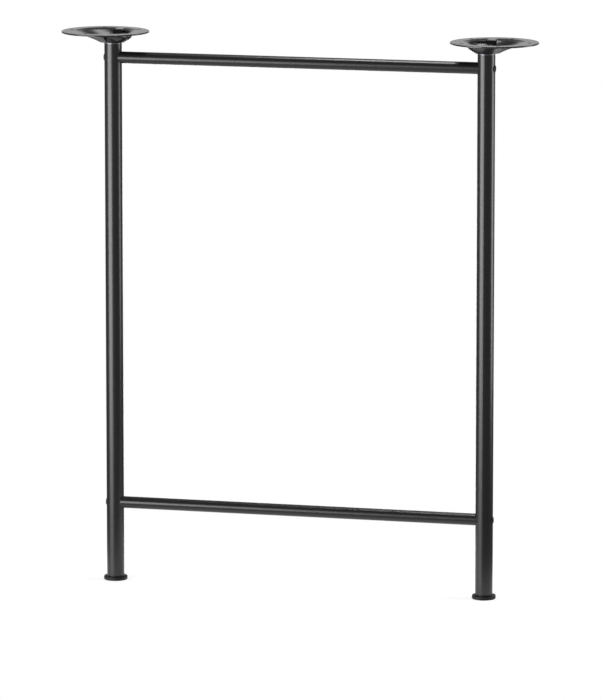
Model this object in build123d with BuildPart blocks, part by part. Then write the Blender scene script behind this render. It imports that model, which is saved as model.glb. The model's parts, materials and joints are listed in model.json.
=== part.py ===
# Frame-type table leg: two round steel uprights joined by two crossbars, with a pressed plate on top of each.
# Millimetres, Z up. The origin is on the floor midway between the feet, X runs along the frame, Y across it.
import os
from math import sqrt

from build123d import *

os.makedirs("parts", exist_ok=True)

# Whole frame
frame_height = 700.0  # floor to the top of the plates
upright_spacing = 480.0  # between the uprights' axes
fit_gap = 0.05  # radial clearance of plugs, inserts and threads in their bores

# Uprights, round tube
upright_diameter = 22.0
upright_wall = 1.5

# Crossbars, round tube with ends coped to the uprights
bar_diameter = 15.0
bar_wall = 1.2
upper_bar_drop = 33.0  # from the top of the plates down to the upper bar's axis
lower_bar_height = 100.0  # from the floor up to the lower bar's axis

# Mounting plates, pressed from sheet, with the dish's sizes taken on its inside
sheet = 2.0
plate_diameter = 110.0
plate_offset = 10.0  # plate centre outboard of the upright's axis
plate_edge_round = 0.6
dish_mouth_diameter = 62.0
dish_mouth_depth = 1.8
dish_shoulder_width = 9.0  # of the slope from the flange down to the mouth
dish_shoulder_round = 15.0
dish_waist_reach = 23.6  # outboard of the upright's axis
dish_wall_draft = 0.6  # lean of the inboard wall from the mouth down to the waist
dish_waist_depth = 8.0
dish_floor_diameter = 31.0
dish_floor_depth = 11.5
dish_lip_round = 3.0
dish_skin_share = 0.8  # step between the dish's inner and outer rings, as a share of the sheet
table_hole_diameter = 5.0
table_hole_circle = 88.0
table_hole_count = 5

# Ribs pressed inwards at the front and back of the dish, measured from the upright's axis
rib_width = 11.0
rib_reach = 21.0  # to the inner end of a rib's flat top
rib_toe = 16.0  # to where a rib meets the dish floor
rib_overlap = 2.0  # of a rib's outer end into the flange
rib_round = 1.2

# Top joint: plug and stud in the upright, threaded bush on the dish floor
collar_height = 2.0
collar_round = 0.9
plug_chamfer = 0.6
plug_end_clearance = 1.0  # from the plug's lower end to the dimple of the upper bar's screw
stud_diameter = 8.0
stud_chamfer = 0.8
stud_hole_clearance = 0.4  # radial, in the dish floor
stud_end_gap = 0.5  # stud end below the bush's top
bush_diameter = 15.0
bush_height = 7.0
bush_chamfer = 0.8

# Crossbar screws, with low round heads in flats pressed into the uprights
screw_diameter = 6.0
screw_clearance = 0.3  # radial, in the uprights' walls
screw_engagement = 14.5  # past the upright's inner side
screw_end_chamfer = 0.8
screw_head_diameter = 10.0
screw_head_height = 2.1
screw_head_round = 1.6
screw_seat_depth = 1.5
screw_seat_margin = 0.8  # radial, around the head
socket_width = 4.0  # across flats
socket_depth = 1.3

# Threaded inserts in the crossbars' ends
insert_length = 20.0
insert_setback = 0.5  # insert end behind the upright's inner side
insert_chamfer = 0.5

# Feet, moulded with a hollow barbed shank
foot_diameter = 30.0
foot_height = 5.0
foot_top_round = 1.2
foot_bottom_bevel = 0.8
shank_length = 24.0
shank_wall = 2.2
barb_count = 3
barb_depth = 0.8

# Places worked out from the sizes above
half_spacing = upright_spacing / 2
upright_radius = upright_diameter / 2
upright_bore = upright_radius - upright_wall
dish_mouth = frame_height - dish_mouth_depth
dish_shoulder = dish_mouth_diameter / 2 + dish_shoulder_width
waist_inboard = dish_mouth_diameter / 2 - plate_offset - dish_wall_draft  # waist's reach on the other side
waist_radius = (dish_waist_reach + waist_inboard) / 2
waist_offset = (dish_waist_reach - waist_inboard) / 2
dish_floor = frame_height - dish_floor_depth
dish_bottom = dish_floor - sheet
upright_top = dish_bottom - collar_height
upright_length = upright_top - foot_height
bar_bore = bar_diameter / 2 - bar_wall
bar_heights = {"upper": frame_height - upper_bar_drop, "lower": lower_bar_height}
seat_distance = upright_radius - screw_seat_depth  # seat plane from the upright's axis
seat_radius = screw_head_diameter / 2 + screw_seat_margin
screw_length = seat_distance + upright_radius + screw_engagement
dimple_radius = seat_radius + upright_wall  # on the inside of the tube
plug_length = upright_top - bar_heights["upper"] - dimple_radius - plug_end_clearance
stud_top = dish_floor + bush_height - stud_end_gap
stud_length = stud_top - upright_top + plug_length
stud_bore = stud_diameter / 2 + fit_gap
wall_skin = dish_skin_share * sheet  # less than the sheet, so that the sloping wall is one sheet thick
rib_lean = (rib_reach - rib_toe) / dish_floor_depth  # run of a rib's inner face for each millimetre down
rib_root = dish_shoulder + rib_overlap
sides = {"left": -1, "right": 1}


def on_upright(side, height):
    # Level plane on an upright's axis, its own Y pointing outwards along the frame
    return Plane(origin=(side * half_spacing, 0, height), x_dir=(0, -side, 0), z_dir=(0, 0, 1))


def across_frame(x, height):
    # Standing plane square to the crossbars, its own X along the frame's Y and its own Y up
    return Plane(origin=(x, 0, height), x_dir=(0, 1, 0), z_dir=(1, 0, 0))


def facing_out(side, distance, height):
    # Standing plane square to the crossbars, facing outwards, at a distance from an upright's axis
    return Plane(origin=(side * (half_spacing + distance), 0, height), x_dir=(0, side, 0), z_dir=(side, 0, 0))


def write_piece(piece, name):
    piece.label = name
    export_step(piece, f"parts/{name}.step")


def make_upright(side):
    with BuildPart() as upright:
        # Dimples in the outer side, pressed in to seat the screw heads, trimmed to the round of the tube
        for height in bar_heights.values():
            with BuildSketch(facing_out(side, seat_distance - upright_wall, height)):
                Circle(dimple_radius)
            extrude(amount=upright_radius)
        with BuildSketch(on_upright(side, foot_height)):
            Circle(upright_radius)
        extrude(amount=upright_length, mode=Mode.INTERSECT)

        # The tube itself
        with BuildSketch(on_upright(side, foot_height)):
            Circle(upright_radius)
            Circle(upright_bore, mode=Mode.SUBTRACT)
        extrude(amount=upright_length)

        # Flat of each dimple, and its screw hole through both walls
        for height in bar_heights.values():
            seat = facing_out(side, seat_distance, height)
            with BuildSketch(seat):
                Circle(seat_radius)
            extrude(amount=upright_radius, mode=Mode.SUBTRACT)
            with BuildSketch(seat):
                Circle(screw_diameter / 2 + screw_clearance)
            extrude(amount=-upright_diameter, mode=Mode.SUBTRACT)
    return upright.part


def make_crossbar(height):
    with BuildPart() as bar:
        with BuildSketch(across_frame(0, height)):
            Circle(bar_diameter / 2)
            Circle(bar_bore, mode=Mode.SUBTRACT)
        extrude(amount=half_spacing, both=True)
        # Both ends coped to sit on the round uprights
        with BuildSketch(Plane.XY.offset(height)):
            with GridLocations(upright_spacing, 0, 2, 1):
                Circle(upright_radius)
        extrude(amount=bar_diameter, both=True, mode=Mode.SUBTRACT)
    return bar.part


def make_insert(side, height):
    outer_end = facing_out(side, -upright_radius - insert_setback, height)
    with BuildPart() as insert:
        with BuildSketch(outer_end):
            Circle(bar_bore - fit_gap)
        extrude(amount=-insert_length)
        chamfer(insert.edges().filter_by(GeomType.CIRCLE), insert_chamfer)
        with BuildSketch(outer_end):
            Circle(screw_diameter / 2 + fit_gap)
        extrude(amount=-insert_length, mode=Mode.SUBTRACT)
    return insert.part


def make_crossbar_screws():
    # One screw, its head above the seat at height zero
    with BuildPart() as screw:
        with BuildSketch():
            Circle(screw_diameter / 2)
        extrude(amount=-screw_length)
        chamfer(screw.edges().group_by(Axis.Z)[0], screw_end_chamfer)
        with BuildSketch():
            Circle(screw_head_diameter / 2)
        extrude(amount=screw_head_height)
        fillet(screw.edges().group_by(Axis.Z)[-1], screw_head_round)
        with BuildSketch(Plane.XY.offset(screw_head_height)):
            RegularPolygon(socket_width / 2, 6, major_radius=False)
        extrude(amount=-socket_depth, mode=Mode.SUBTRACT)

    # The four seats
    seats = [
        facing_out(side, seat_distance, height)
        for side in sides.values()
        for height in bar_heights.values()
    ]
    with BuildPart() as crossbar_screws:
        with Locations(*seats):
            add(screw.part)
    return crossbar_screws.part


def ring(side, offset, radius, height):
    # Level round profile, offset outwards from an upright's axis
    with BuildSketch(on_upright(side, height)) as profile:
        with Locations((0, offset)):
            Circle(radius)
    return profile.sketch


def shoulder_rings(side, skin, drop):
    # Level circles at the top and bottom of the sloping shoulder round the dish, both on the plate's centre
    return [
        ring(side, plate_offset, dish_shoulder, frame_height - drop),
        ring(side, plate_offset, dish_mouth_diameter / 2 + skin, dish_mouth - drop),
    ]


def dish_rings(side, skin, drop):
    # Level circles down the dish: the mouth on the plate's centre, the floor on the upright's axis
    return [
        ring(side, plate_offset, dish_mouth_diameter / 2 + skin, dish_mouth - drop),
        ring(side, waist_offset, waist_radius + skin, frame_height - dish_waist_depth - skin),
        ring(side, 0, dish_floor_diameter / 2 + skin, dish_floor - drop),
    ]


def rib_profiles(side, inset):
    # Side view of both ribs, or with an inset, of the hollows under them
    top = frame_height - inset
    shift = inset * sqrt(1 + rib_lean**2)  # keeps the leaning face one inset thick
    inner_top = rib_reach - rib_lean * inset + shift
    inner_bottom = inner_top - rib_lean * (top - dish_bottom)
    with BuildSketch(across_frame(side * half_spacing, 0)) as profiles:
        with BuildLine():
            Polyline(
                (inner_bottom, dish_bottom),
                (inner_top, top),
                (rib_root, top),
                (rib_root, dish_bottom),
                close=True,
            )
        make_face()
        mirror(about=Plane.YZ)
    return profiles.sketch


def make_mounting_plate(side):
    # Flange and the outside of the dish, not yet hollow
    with BuildPart() as blank:
        extrude(ring(side, plate_offset, plate_diameter / 2, frame_height - sheet), amount=sheet)
        fillet(blank.edges().filter_by(GeomType.CIRCLE), plate_edge_round)
        loft(shoulder_rings(side, wall_skin, sheet))
        loft(dish_rings(side, wall_skin, sheet))

    # The ribs, cut out of that form
    with BuildPart() as ribs:
        add(blank.part)
        extrude(rib_profiles(side, 0), amount=rib_width / 2, both=True, mode=Mode.INTERSECT)
        fillet(ribs.faces().group_by(Axis.Z)[-1].edges(), rib_round)

    with BuildPart() as plate:
        add(blank.part)

        # Hollow of the dish, with its rolled lip and soft shoulder
        loft(shoulder_rings(side, 0, 0), mode=Mode.SUBTRACT)
        loft(dish_rings(side, 0, 0), mode=Mode.SUBTRACT)
        fillet(plate.edges().filter_by_position(Axis.Z, dish_mouth, dish_mouth), dish_lip_round)
        fillet(plate.faces().sort_by(Axis.Z)[-1].inner_wires()[0].edges(), dish_shoulder_round)

        # Ribs across the hollow, open underneath
        add(ribs.part)
        extrude(rib_profiles(side, sheet), amount=rib_width / 2 - sheet, both=True, mode=Mode.SUBTRACT)

        # Hole for the stud, and the table top's screw holes with one on the frame's outer line
        stud_hole = ring(side, 0, stud_diameter / 2 + stud_hole_clearance, dish_floor)
        extrude(stud_hole, amount=-sheet, mode=Mode.SUBTRACT)
        with BuildSketch(on_upright(side, frame_height)):
            with Locations((0, plate_offset)):
                with PolarLocations(table_hole_circle / 2, table_hole_count, start_angle=90):
                    Circle(table_hole_diameter / 2)
        extrude(amount=-sheet, mode=Mode.SUBTRACT)
    return plate.part


def make_top_plug(side):
    with BuildPart() as plug:
        with BuildSketch(on_upright(side, upright_top)):
            Circle(upright_radius)
        extrude(amount=collar_height)
        fillet(plug.edges().group_by(Axis.Z)[-1], collar_round)
        with BuildSketch(on_upright(side, upright_top)):
            Circle(upright_bore - fit_gap)
        extrude(amount=-plug_length)
        chamfer(plug.edges().group_by(Axis.Z)[0], plug_chamfer)
        with BuildSketch(on_upright(side, dish_bottom)):
            Circle(stud_bore)
        extrude(amount=-plug_length - collar_height, mode=Mode.SUBTRACT)
    return plug.part


def make_stud(side):
    with BuildPart() as stud:
        with BuildSketch(on_upright(side, stud_top)):
            Circle(stud_diameter / 2)
        extrude(amount=-stud_length)
        chamfer(stud.edges().filter_by(GeomType.CIRCLE), stud_chamfer)
    return stud.part


def make_plate_bush(side):
    with BuildPart() as bush:
        with BuildSketch(on_upright(side, dish_floor)):
            Circle(bush_diameter / 2)
        extrude(amount=bush_height)
        chamfer(bush.edges().group_by(Axis.Z)[-1], bush_chamfer)
        with BuildSketch(on_upright(side, dish_floor)):
            Circle(stud_bore)
        extrude(amount=bush_height, mode=Mode.SUBTRACT)
    return bush.part


def make_foot(side):
    barb_radius = upright_bore - fit_gap
    waist_radius = barb_radius - barb_depth
    bore_radius = waist_radius - shank_wall
    barb_length = shank_length / barb_count
    with BuildPart() as foot:
        with BuildSketch(on_upright(side, 0)):
            Circle(foot_diameter / 2)
        extrude(amount=foot_height)
        fillet(foot.edges().group_by(Axis.Z)[-1], foot_top_round)
        chamfer(foot.edges().group_by(Axis.Z)[0], foot_bottom_bevel)

        # Shank with barbs that taper upwards, turned about the upright's axis
        outline = [(bore_radius, foot_height)]
        for barb in range(barb_count):
            barb_start = foot_height + barb * barb_length
            outline.append((barb_radius, barb_start))
            outline.append((waist_radius, barb_start + barb_length))
        outline.append((bore_radius, foot_height + shank_length))
        with BuildSketch(across_frame(side * half_spacing, 0)):
            with BuildLine():
                Polyline(*outline, close=True)
            make_face()
        revolve(axis=Axis((side * half_spacing, 0, 0), (0, 0, 1)))
    return foot.part


for side_name, side in sides.items():
    write_piece(make_upright(side), f"{side_name}_upright")
    write_piece(make_mounting_plate(side), f"{side_name}_mounting_plate")
    write_piece(make_plate_bush(side), f"{side_name}_plate_bush")
    write_piece(make_stud(side), f"{side_name}_stud")
    write_piece(make_top_plug(side), f"{side_name}_top_plug")
    write_piece(make_foot(side), f"{side_name}_foot")

for bar_name, bar_height in bar_heights.items():
    write_piece(make_crossbar(bar_height), f"{bar_name}_crossbar")
    for side_name, side in sides.items():
        write_piece(make_insert(side, bar_height), f"{bar_name}_{side_name}_insert")

write_piece(make_crossbar_screws(), "crossbar_screws")
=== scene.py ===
# Table leg: black powder-coated tubes and plates, plastic feet, zinc-plated fastenings
import json
from math import cos, pi, radians, sin

import bpy
import numpy as np
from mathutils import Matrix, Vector


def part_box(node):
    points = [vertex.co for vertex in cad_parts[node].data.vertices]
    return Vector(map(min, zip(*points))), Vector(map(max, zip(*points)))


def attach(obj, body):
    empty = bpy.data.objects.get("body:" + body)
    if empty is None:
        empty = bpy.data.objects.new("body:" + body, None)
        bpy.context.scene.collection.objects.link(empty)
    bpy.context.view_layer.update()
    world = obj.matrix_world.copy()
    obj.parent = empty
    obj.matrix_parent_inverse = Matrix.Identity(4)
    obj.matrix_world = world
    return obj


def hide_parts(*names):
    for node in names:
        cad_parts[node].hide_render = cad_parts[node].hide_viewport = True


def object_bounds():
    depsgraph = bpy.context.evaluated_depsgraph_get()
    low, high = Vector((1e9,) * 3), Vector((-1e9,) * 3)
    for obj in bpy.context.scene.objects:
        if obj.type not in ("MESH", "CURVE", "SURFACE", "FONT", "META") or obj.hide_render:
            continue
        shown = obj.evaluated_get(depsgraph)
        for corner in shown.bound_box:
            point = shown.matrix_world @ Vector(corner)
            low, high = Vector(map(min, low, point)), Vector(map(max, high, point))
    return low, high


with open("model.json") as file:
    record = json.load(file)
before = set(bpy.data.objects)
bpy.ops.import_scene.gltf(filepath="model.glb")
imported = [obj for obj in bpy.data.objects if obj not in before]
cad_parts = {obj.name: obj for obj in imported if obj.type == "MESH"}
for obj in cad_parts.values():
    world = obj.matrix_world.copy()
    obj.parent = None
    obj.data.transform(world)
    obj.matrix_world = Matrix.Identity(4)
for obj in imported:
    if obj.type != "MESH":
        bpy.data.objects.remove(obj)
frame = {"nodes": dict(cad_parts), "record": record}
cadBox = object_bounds()
nodes = frame["nodes"]
body = "root"  # nothing on the leg moves, so it is all one body
mm = 0.001  # the frame is in metres
print("frame loaded,", len(nodes), "nodes")


def linear(hexColour):  # sRGB hex to linear red, green, blue, alpha
    srgb = np.array([int(hexColour[i:i + 2], 16) for i in (1, 3, 5)]) / 255
    rgb = np.where(srgb <= 0.04045, srgb / 12.92, ((srgb + 0.055) / 1.055) ** 2.4)
    return (*rgb.tolist(), 1.0)


def grain(sizeMm):  # texture scale whose features are about this size
    return 1 / (sizeMm * mm)


def addNode(tree, kind, settings=None, links=None):
    # settings are properties or input values, links are input names with the sockets that feed them
    # a Mix node's inputs go by number: 0 is the factor, 2 and 3 take values, 6 and 7 take colours
    node = tree.nodes.new(kind)
    for name, value in (settings or {}).items():
        if isinstance(name, int) or name in node.inputs:
            node.inputs[name].default_value = value
        else:
            setattr(node, name, value)
    for name, socket in (links or {}).items():
        tree.links.new(socket, node.inputs[name])
    return node


def newMaterial(name, shaderSettings):
    # an empty material with its shader wired to the output, and Object coordinates to build on
    material = bpy.data.materials.new(name)
    material.use_nodes = True
    tree = material.node_tree
    tree.nodes.clear()
    shader = addNode(tree, "ShaderNodeBsdfPrincipled", shaderSettings)
    addNode(tree, "ShaderNodeOutputMaterial", links={"Surface": shader.outputs["BSDF"]})
    place = addNode(tree, "ShaderNodeTexCoord").outputs["Object"]
    return material, tree, shader, place


def patternSurface(tree, shader, finish, colourBy, roughBy, heightBy=None):
    # one pattern runs the colour between two tints, one the roughness between two levels,
    # and one may lift the skin
    tint = addNode(tree, "ShaderNodeMix", {
        "data_type": "RGBA", 6: linear(finish["tints"][0]), 7: linear(finish["tints"][1]),
    }, {0: colourBy})
    tree.links.new(tint.outputs[2], shader.inputs["Base Color"])
    rough = addNode(tree, "ShaderNodeMapRange", {
        "To Min": finish["rough"][0], "To Max": finish["rough"][1],
    }, {"Value": roughBy})
    tree.links.new(rough.outputs["Result"], shader.inputs["Roughness"])
    if heightBy is not None:
        bump = addNode(tree, "ShaderNodeBump", {
            "Strength": finish["bumpStrength"], "Distance": finish["bumpDepthMm"] * mm,
        }, {"Height": heightBy})
        tree.links.new(bump.outputs["Normal"], shader.inputs["Normal"])


# Powder coat: sprayed dry and baked, so it flows out to a skin with a faint orange peel.
# Real peel is about 1 mm across, drawn more than 2 mm wide here so that it shows.
# The tints are the coat where it lies thick and where it lies thin.
tubeCoat = {
    "tints": ("#151517", "#1A1A1C"), "cloudMm": 45, "cloudDetail": 3, "peelMm": 2.5, "peelDetail": 2,
    "rough": (0.27, 0.33), "bumpStrength": 0.05, "bumpDepthMm": 0.08, "ior": 1.5,
}
plateCoat = {
    "tints": ("#151516", "#1D1D1F"), "cloudMm": 22, "cloudDetail": 3, "peelMm": 2.2, "peelDetail": 2,
    "rough": (0.21, 0.29), "bumpStrength": 0.05, "bumpDepthMm": 0.08, "ior": 1.5,
}


def powderCoat(name, coat):
    material, tree, shader, place = newMaterial(name, {"IOR": coat["ior"]})
    cloud = addNode(tree, "ShaderNodeTexNoise", {
        "Scale": grain(coat["cloudMm"]), "Detail": coat["cloudDetail"],
    }, {"Vector": place}).outputs["Fac"]
    peel = addNode(tree, "ShaderNodeTexNoise", {
        "Scale": grain(coat["peelMm"]), "Detail": coat["peelDetail"],
    }, {"Vector": place}).outputs["Fac"]
    patternSurface(tree, shader, coat, colourBy=cloud, roughBy=peel, heightBy=peel)
    return material


# Black zinc: plated steel under a dark passivation, a metal with a smoky satin shine in small patches.
# The screws come from a darker batch than the collars.
collarZinc = {"tints": ("#5A5A5F", "#6E6E73"), "patchMm": 2.5, "patchDetail": 4, "rough": (0.32, 0.45)}
screwZinc = {"tints": ("#2B2B2E", "#39393C"), "patchMm": 1.5, "patchDetail": 4, "rough": (0.36, 0.50)}


def blackZinc(name, finish):
    material, tree, shader, place = newMaterial(name, {"Metallic": 1.0})
    patch = addNode(tree, "ShaderNodeTexNoise", {
        "Scale": grain(finish["patchMm"]), "Detail": finish["patchDetail"],
    }, {"Vector": place}).outputs["Fac"]
    patternSurface(tree, shader, finish, colourBy=patch, roughBy=patch)
    return material


# Bright zinc: turned steel, plated and clear passivated, so bluish with straw clouds and tool rings.
# Real tool rings are finer, drawn 0.6 mm apart here so that they show.
turnedZinc = {
    "tints": ("#A3A9B1", "#B3AFA2"), "cloudMm": 6, "cloudDetail": 3, "rough": (0.26, 0.38),
    "ringMm": 0.6, "ringWander": 0.4, "bumpStrength": 0.12, "bumpDepthMm": 0.03,
}


def brightZinc(name, finish):
    material, tree, shader, place = newMaterial(name, {"Metallic": 1.0})
    cloud = addNode(tree, "ShaderNodeTexNoise", {
        "Scale": grain(finish["cloudMm"]), "Detail": finish["cloudDetail"],
    }, {"Vector": place}).outputs["Fac"]
    # bands in Z are rings round an upright part
    wavesPerUnit = 20 / (2 * pi)  # the wave texture runs through 20 radians in each unit
    ring = addNode(tree, "ShaderNodeTexWave", {
        "bands_direction": "Z", "Scale": grain(finish["ringMm"]) / wavesPerUnit,
        "Distortion": finish["ringWander"],
    }, {"Vector": place}).outputs["Fac"]
    patternSurface(tree, shader, finish, colourBy=cloud, roughBy=cloud, heightBy=ring)
    return material


# Polyamide: black nylon moulded in an etched tool, so a dull even grain, with faint flow marks.
# The etch is about 0.3 mm across, drawn 0.9 mm wide here so that it shows.
nylon = {
    "tints": ("#0B0B0B", "#111111"), "flowMm": 14, "flowDetail": 2, "etchMm": 0.9,
    "rough": (0.42, 0.56), "bumpStrength": 0.25, "bumpDepthMm": 0.08, "ior": 1.53, "specular": 0.22,
}


def mouldedNylon(name, finish):
    material, tree, shader, place = newMaterial(name, {
        "IOR": finish["ior"], "Specular IOR Level": finish["specular"],
    })
    flow = addNode(tree, "ShaderNodeTexNoise", {
        "Scale": grain(finish["flowMm"]), "Detail": finish["flowDetail"],
    }, {"Vector": place}).outputs["Fac"]
    etch = addNode(tree, "ShaderNodeTexVoronoi", {
        "Scale": grain(finish["etchMm"]),
    }, {"Vector": place}).outputs["Distance"]
    patternSurface(tree, shader, finish, colourBy=flow, roughBy=etch, heightBy=etch)
    return material


finishes = {
    "tube_paint": powderCoat("satin_black_powder_coat", tubeCoat),
    "plate_paint": powderCoat("semi_gloss_black_powder_coat", plateCoat),
    "black_zinc": blackZinc("black_zinc_plate", collarZinc),
    "zinc_steel": brightZinc("bright_zinc_plate", turnedZinc),
    "black_plastic": mouldedNylon("moulded_black_polyamide", nylon),
}
for part in frame["record"]["subparts"]:
    nodes[part["node"]].data.materials.clear()
    nodes[part["node"]].data.materials.append(finishes[part["material_slot"]])
nodes["crossbar_screws"].data.materials[0] = blackZinc("deep_black_zinc_plate", screwZinc)
print("materials made,", len(finishes) + 1)


def closeRings(rings):
    # rings is an array of points, ring by ring: each ring joins the next, and each end ring
    # closes on its middle
    count, sides = rings.shape[:2]
    points = np.concatenate([rings.reshape(-1, 3), rings[:1].mean(axis=1), rings[-1:].mean(axis=1)])
    here = np.arange(sides)
    after = np.roll(here, -1)
    start = np.arange(count - 1)[:, None] * sides
    walls = np.stack([start + here, start + after, start + sides + after, start + sides + here], axis=2)
    firstMiddle, lastMiddle = count * sides, count * sides + 1
    lastRing = (count - 1) * sides
    firstCap = np.stack([after, here, np.full(sides, firstMiddle)], axis=1)
    lastCap = np.stack([lastRing + here, lastRing + after, np.full(sides, lastMiddle)], axis=1)
    return points, walls.reshape(-1, 4), firstCap, lastCap


# Threaded studs, standing in the plugs and screwed into the bushes
stud = {
    "pitchMm": 1.25, "depthMm": 0.72, "stretch": 1.3, "chamferMm": 0.9,
    "sides": 48, "ringsPerTurn": 12, "sharpAngle": 35,
}


def threadDepth(turn, distance):
    # depth below the crest: a triangle wave of distance along the axis less the turn, from 0 to 1,
    # stretched about its middle and clipped, so that crests and roots are flat
    phase = np.mod(distance / (stud["pitchMm"] * mm) - turn / (2 * pi), 1)
    wave = np.abs(2 * phase - 1)
    return stud["depthMm"] * mm * np.clip(0.5 + stud["stretch"] * (wave - 0.5), 0, 1)


def makeStud(side):
    low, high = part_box(f"{side}_stud")
    centre = (low + high) / 2
    radius = (high.x - low.x) / 2
    length = high.z - low.z
    ringCount = int(length / (stud["pitchMm"] * mm) * stud["ringsPerTurn"])
    distance = np.linspace(0, length, ringCount)[:, None]
    turn = np.linspace(0, 2 * pi, stud["sides"], endpoint=False)[None, :]
    # radius: the thread, but no more than a 45 degree cone at each end
    cone = radius - stud["chamferMm"] * mm + np.minimum(distance, length - distance)
    reach = np.minimum(radius - threadDepth(turn, distance), cone)
    points, walls, firstCap, lastCap = closeRings(np.stack([
        centre.x + reach * np.cos(turn), centre.y + reach * np.sin(turn), low.z + distance + 0 * turn,
    ], axis=2))
    mesh = bpy.data.meshes.new(f"{side}_threaded_stud")
    mesh.from_pydata(points.tolist(), [], walls.tolist() + firstCap.tolist() + lastCap.tolist())
    mesh.shade_smooth()
    mesh.set_sharp_from_angle(angle=radians(stud["sharpAngle"]))
    mesh.materials.append(finishes["zinc_steel"])
    piece = bpy.data.objects.new(f"{side}_threaded_stud", mesh)
    bpy.context.scene.collection.objects.link(piece)
    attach(piece, body)
    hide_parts(f"{side}_stud")


for side in ("left", "right"):
    makeStud(side)
print("studs threaded")

white = "#FFFFFF"  # of the room, and of the floor's glow


def rayKinds(tree):
    # two sockets: one is 1 for what the camera sees, the other for what shows in metal or through glass
    path = addNode(tree, "ShaderNodeLightPath")
    mirrored = addNode(tree, "ShaderNodeMath", {"operation": "MAXIMUM"}, {
        0: path.outputs["Is Glossy Ray"], 1: path.outputs["Is Transmission Ray"],
    })
    return path.outputs["Is Camera Ray"], mirrored.outputs[0]


# Floor: an oval sheet of pale paint that fades out into the white round it. A glow lifts it to white
# for the eye and leaves the shadow showing. Mirrors see a glow that is weaker in front of the leg.
floorSheet = {
    "halfLong": 0.55, "halfWide": 0.30,  # metres
    "rings": 12, "sides": 96, "innerShare": 0.05, "fadeFrom": 0.55,  # shares of the full oval
    "paint": "#B4B4B4", "glow": 0.725, "mirrorGlow": 0.85,
    "frontMirrorGlow": 0.30, "frontFrom": -0.20, "frontTo": -0.05,  # from and to are places in Y
}


def floorPaint():
    material = bpy.data.materials.new("pale_studio_floor")
    material.use_nodes = True
    tree = material.node_tree
    tree.nodes.clear()
    seen, mirrored = rayKinds(tree)
    place = addNode(tree, "ShaderNodeTexCoord").outputs["Object"]
    spread = addNode(tree, "ShaderNodeSeparateXYZ", links={"Vector": place})
    frontLevel = addNode(tree, "ShaderNodeMapRange", {
        "interpolation_type": "SMOOTHSTEP",
        "From Min": floorSheet["frontFrom"], "From Max": floorSheet["frontTo"],
        "To Min": floorSheet["frontMirrorGlow"], "To Max": floorSheet["mirrorGlow"],
    }, {"Value": spread.outputs["Y"]})
    mirrorLevel = addNode(tree, "ShaderNodeMath", {"operation": "MULTIPLY"}, {
        0: mirrored, 1: frontLevel.outputs["Result"],
    })
    glowLevel = addNode(tree, "ShaderNodeMath", {"operation": "MULTIPLY_ADD", 1: floorSheet["glow"]}, {
        0: seen, 2: mirrorLevel.outputs[0],
    })
    paint = addNode(tree, "ShaderNodeBsdfDiffuse", {"Color": linear(floorSheet["paint"])})
    glow = addNode(tree, "ShaderNodeEmission", {"Color": linear(white)}, {
        "Strength": glowLevel.outputs[0],
    })
    lit = addNode(tree, "ShaderNodeAddShader", links={0: paint.outputs[0], 1: glow.outputs[0]})
    # the fade runs by share of the oval, out to its edge
    oval = addNode(tree, "ShaderNodeVectorMath", {
        "operation": "DIVIDE", 1: (floorSheet["halfLong"], floorSheet["halfWide"], 1),
    }, {0: place})
    share = addNode(tree, "ShaderNodeVectorMath", {"operation": "LENGTH"}, {0: oval.outputs[0]})
    fade = addNode(tree, "ShaderNodeMapRange", {
        "interpolation_type": "SMOOTHSTEP", "From Min": floorSheet["fadeFrom"],
    }, {"Value": share.outputs["Value"]})
    clear = addNode(tree, "ShaderNodeBsdfTransparent")
    surface = addNode(tree, "ShaderNodeMixShader", links={
        0: fade.outputs["Result"], 1: lit.outputs[0], 2: clear.outputs[0],
    })
    addNode(tree, "ShaderNodeOutputMaterial", links={"Surface": surface.outputs[0]})
    return material


def makeFloor():
    # ring by ring from the middle, each ring a share of the full oval, with no cap on the outer ring
    turn = np.linspace(0, 2 * pi, floorSheet["sides"], endpoint=False)[None, :]
    share = np.linspace(floorSheet["innerShare"], 1, floorSheet["rings"])[:, None]
    points, walls, middle, _ = closeRings(np.stack([
        floorSheet["halfLong"] * share * np.cos(turn), floorSheet["halfWide"] * share * np.sin(turn),
        cadBox[0].z + 0 * share * turn,
    ], axis=2))
    mesh = bpy.data.meshes.new("floor")
    mesh.from_pydata(points[:-1].tolist(), [], walls[:, ::-1].tolist() + middle[:, ::-1].tolist())
    mesh.materials.append(floorPaint())
    floor = bpy.data.objects.new("floor", mesh)
    bpy.context.scene.collection.objects.link(floor)


# Room: white to the eye. In mirrored light it has a white band just above the horizon, is dim above and
# below that, and shows the floor's glow far below.
room = {
    "fill": 0.25, "dim": 0.14,  # light on matt surfaces, and the mirrored room outside the band
    "bandRise": 0.10, "bandHalf": 0.06, "bandFade": 0.21,  # heights as the Z of a direction
    "belowFrom": -0.65, "belowTo": -0.35,
}


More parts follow.
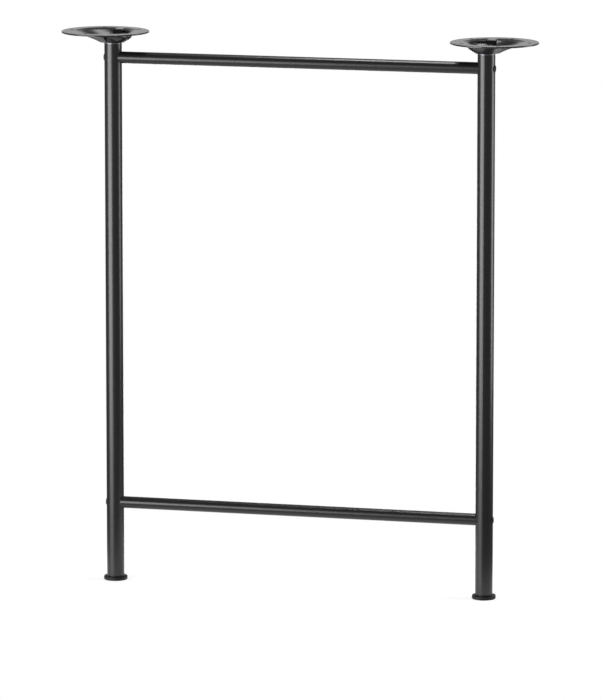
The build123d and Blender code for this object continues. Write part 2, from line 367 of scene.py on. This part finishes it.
def makeWorld():
    world = bpy.data.worlds.new("studio")
    world.use_nodes = True
    tree = world.node_tree
    tree.nodes.clear()
    seen, mirrored = rayKinds(tree)
    direction = addNode(tree, "ShaderNodeTexCoord").outputs["Generated"]
    rise = addNode(tree, "ShaderNodeSeparateXYZ", links={"Vector": direction}).outputs["Z"]
    offset = addNode(tree, "ShaderNodeMath", {"operation": "SUBTRACT", 1: room["bandRise"]}, {0: rise})
    away = addNode(tree, "ShaderNodeMath", {"operation": "ABSOLUTE"}, {0: offset.outputs[0]})
    band = addNode(tree, "ShaderNodeMapRange", {
        "interpolation_type": "SMOOTHSTEP", "From Min": room["bandHalf"], "From Max": room["bandFade"],
        "To Min": 1.0, "To Max": room["dim"],
    }, {"Value": away.outputs[0]})
    below = addNode(tree, "ShaderNodeMapRange", {
        "interpolation_type": "SMOOTHSTEP", "From Min": room["belowFrom"], "From Max": room["belowTo"],
        "To Min": floorSheet["mirrorGlow"], "To Max": 0.0,
    }, {"Value": rise})
    mirrorLevel = addNode(tree, "ShaderNodeMath", {"operation": "MAXIMUM"}, {
        0: band.outputs["Result"], 1: below.outputs["Result"],
    })
    lightLevel = addNode(tree, "ShaderNodeMix", {2: room["fill"]}, {
        0: mirrored, 3: mirrorLevel.outputs[0],
    })
    level = addNode(tree, "ShaderNodeMix", {3: 1.0}, {0: seen, 2: lightLevel.outputs[0]})
    backdrop = addNode(tree, "ShaderNodeBackground", {"Color": linear(white)}, {
        "Strength": level.outputs[0],
    })
    addNode(tree, "ShaderNodeOutputWorld", links={"Surface": backdrop.outputs[0]})
    bpy.context.scene.world = world


makeWorld()
makeFloor()
print("room and floor made")

# Soft boxes: place and aim in metres, width and height in metres, brightness as radiance
lamps = {
    # a bright band down the left of the uprights and along the crossbars
    "front_left_box": {
        "at": (-1.26, -1.55, 0.35), "aim": (0, 0, 0.35), "size": (1.66, 1.01), "radiance": 8.4,
    },
    # a thin light on the right edges of the uprights
    "right_box": {"at": (0.99, 0.28, 0.50), "aim": (0, 0, 0.50), "size": (0.40, 0.75), "radiance": 5.0},
    # a highlight along the tops of the crossbars
    "top_box": {"at": (-0.10, 0.06, 1.60), "aim": (-0.10, 0.06, 0), "size": (0.28, 0.24), "radiance": 21.0},
    # a sheen in the dish of the left plate
    "back_box": {"at": (-0.53, 3.80, 6.56), "aim": (-0.25, 0, 0.69), "size": (1.50, 3.80), "radiance": 3.8},
    # a fine line on the inner edges of the uprights, and a band down them as seen from behind
    "rear_box": {"at": (-0.60, 2.19, -0.17), "aim": (0, 0, 0.30), "size": (0.75, 0.80), "radiance": 5.5},
}


def addLamp(name, lamp):
    light = bpy.data.lights.new(name, "AREA")
    light.shape = "RECTANGLE"
    light.size, light.size_y = lamp["size"]
    light.energy = lamp["radiance"] * pi * light.size * light.size_y  # watts that give that radiance
    holder = bpy.data.objects.new(name, light)
    holder.location = lamp["at"]
    holder.rotation_euler = (Vector(lamp["aim"]) - Vector(lamp["at"])).to_track_quat("-Z", "Y").to_euler()
    holder.visible_camera = False
    bpy.context.scene.collection.objects.link(holder)


for name, lamp in lamps.items():
    addLamp(name, lamp)
print("lamps set,", len(lamps))

# Camera: a long lens that looks down a little from the front right, in metres and degrees
view = {
    "target": (0.0035, 0.0, 0.3051), "azimuth": 14.74, "elevation": 9.38, "distance": 7.519,
    "focalPixels": 6000, "imageHeight": 700, "sensorMm": 36, "clipEnd": 100,
}


def addCamera():
    lens = bpy.data.cameras.new("camera")
    lens.sensor_width = view["sensorMm"]  # spans the longer side of the picture, its height
    lens.lens = view["focalPixels"] * view["sensorMm"] / view["imageHeight"]
    lens.clip_end = view["clipEnd"]
    camera = bpy.data.objects.new("camera", lens)
    turn, rise = radians(view["azimuth"]), radians(view["elevation"])
    back = Vector((sin(turn) * cos(rise), -cos(turn) * cos(rise), sin(rise)))
    camera.location = Vector(view["target"]) + view["distance"] * back
    camera.rotation_euler = (-back).to_track_quat("-Z", "Y").to_euler()
    bpy.context.scene.collection.objects.link(camera)
    bpy.context.scene.camera = camera


addCamera()
bpy.context.scene.view_settings.view_transform = "Standard"
print("camera set")
